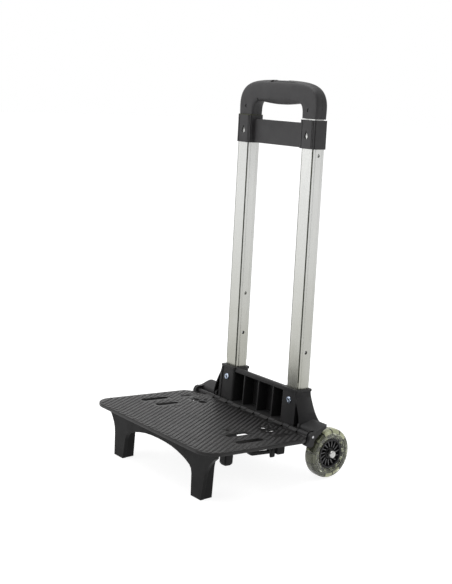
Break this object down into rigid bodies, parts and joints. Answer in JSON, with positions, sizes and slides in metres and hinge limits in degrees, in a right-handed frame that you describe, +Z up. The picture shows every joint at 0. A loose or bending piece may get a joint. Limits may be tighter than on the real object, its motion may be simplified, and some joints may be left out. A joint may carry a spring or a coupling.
{
  "type": "folding hand trolley",
  "caption": "Folding two-wheeled luggage trolley: slotted plastic platform on front legs, clear tyres, aluminium tubes and a telescopic loop handle.",
  "frame": {"origin": "centre of the bounding box at floor level, standing on the front legs and the wheels with the platform down", "axes": "+Z up, +X across to the side with the small lever, -Y forward along the platform, +Y to the rear behind the tubes"},
  "size_m": [0.3, 0.2822, 0.5954],
  "materials": {
    "bracket_plastic": "moulded matte",
    "deck_plastic": "textured matte",
    "leg_plastic": "moulded matte",
    "handle_plastic": "fine matte",
    "button_plastic": "matte",
    "tube_aluminium": "satin anodised",
    "steel": "bright zinc",
    "bright_steel": "polished",
    "hub_plastic": "satin",
    "tyre_core": "satin",
    "clear_tyre": "clear polyurethane"
  },
  "bodies": {
    "base": {"chassis_bracket": "bracket_plastic", "chassis_rivet_left": "bright_steel", "chassis_rivet_right": "bright_steel", "hinge_rod": "steel", "axle_rod": "steel", "axle_spacer_left": "bracket_plastic", "axle_spacer_right": "bracket_plastic", "axle_cap_left": "bright_steel", "axle_cap_right": "bright_steel", "outer_tube_left": "tube_aluminium", "outer_tube_right": "tube_aluminium", "top_bracket": "handle_plastic"},
    "platform": {"deck_platform": "deck_plastic", "front_leg_frame": "leg_plastic", "stub_foot_left": "leg_plastic", "stub_foot_right": "leg_plastic", "strap_loop_left": "leg_plastic", "strap_loop_right": "leg_plastic", "latch_housing": "leg_plastic", "latch_pin": "steel"},
    "lever": {"latch_lever": "leg_plastic"},
    "handle": {"inner_tube_left": "tube_aluminium", "inner_tube_right": "tube_aluminium", "tube_guide_left": "button_plastic", "tube_guide_right": "button_plastic", "handle_front_shell": "handle_plastic", "handle_rear_shell": "handle_plastic", "handle_screw_left": "bright_steel", "handle_screw_right": "bright_steel", "button_spring": "steel"},
    "button": {"handle_button": "button_plastic", "lock_crossbar": "button_plastic", "lock_rod_left": "steel", "lock_rod_right": "steel"},
    "pin_left": {"lock_pin_left": "steel"},
    "pin_right": {"lock_pin_right": "steel"},
    "wheel_left": {"wheel_hub_left": "hub_plastic", "wheel_core_left": "tyre_core", "wheel_tyre_left": "clear_tyre", "wheel_bearing_left": "steel"},
    "wheel_right": {"wheel_hub_right": "hub_plastic", "wheel_core_right": "tyre_core", "wheel_tyre_right": "clear_tyre", "wheel_bearing_right": "steel"}
  },
  "joints": [
    {"name": "platform_fold", "type": "hinge", "parent": "base", "child": "platform", "pos_m": [0, 0.06267, 0.07103], "axis": [-1, 0, 0], "range_deg": [0, 87.5]},
    {"name": "handle_slide", "type": "slide", "parent": "base", "child": "handle", "axis": [0, 0.004, 1], "range_m": [0, 0.3015]},
    {"name": "button_press", "type": "slide", "parent": "handle", "child": "button", "axis": [0, -0.004, -1], "range_m": [0, 0.004], "stiffness_N_per_m": 900, "springref_m": -0.003, "deforming": ["button_spring"]},
    {"name": "pin_left_slide", "type": "slide", "parent": "handle", "child": "pin_left", "axis": [-1, 0, 0], "range_m": [0, 0.003]},
    {"name": "pin_right_slide", "type": "slide", "parent": "handle", "child": "pin_right", "axis": [-1, 0, 0], "range_m": [0, 0.003]},
    {"name": "lever_swing", "type": "hinge", "parent": "platform", "child": "lever", "pos_m": [0.13, -0.00467, 0.06218], "axis": [0, 0.9987, -0.0515], "range_deg": [-30, 30]},
    {"name": "wheel_left_spin", "type": "hinge", "parent": "base", "child": "wheel_left", "pos_m": [-0.133, 0.10322, 0.03792], "axis": [1, 0, 0], "continuous": true},
    {"name": "wheel_right_spin", "type": "hinge", "parent": "base", "child": "wheel_right", "pos_m": [0.133, 0.10322, 0.03792], "axis": [1, 0, 0], "continuous": true}
  ],
  "couplings": [
    {"joint": "pin_left_slide", "follows": "button_press", "ratio": 0.75},
    {"joint": "pin_right_slide", "follows": "button_press", "ratio": 0.75}
  ]
}
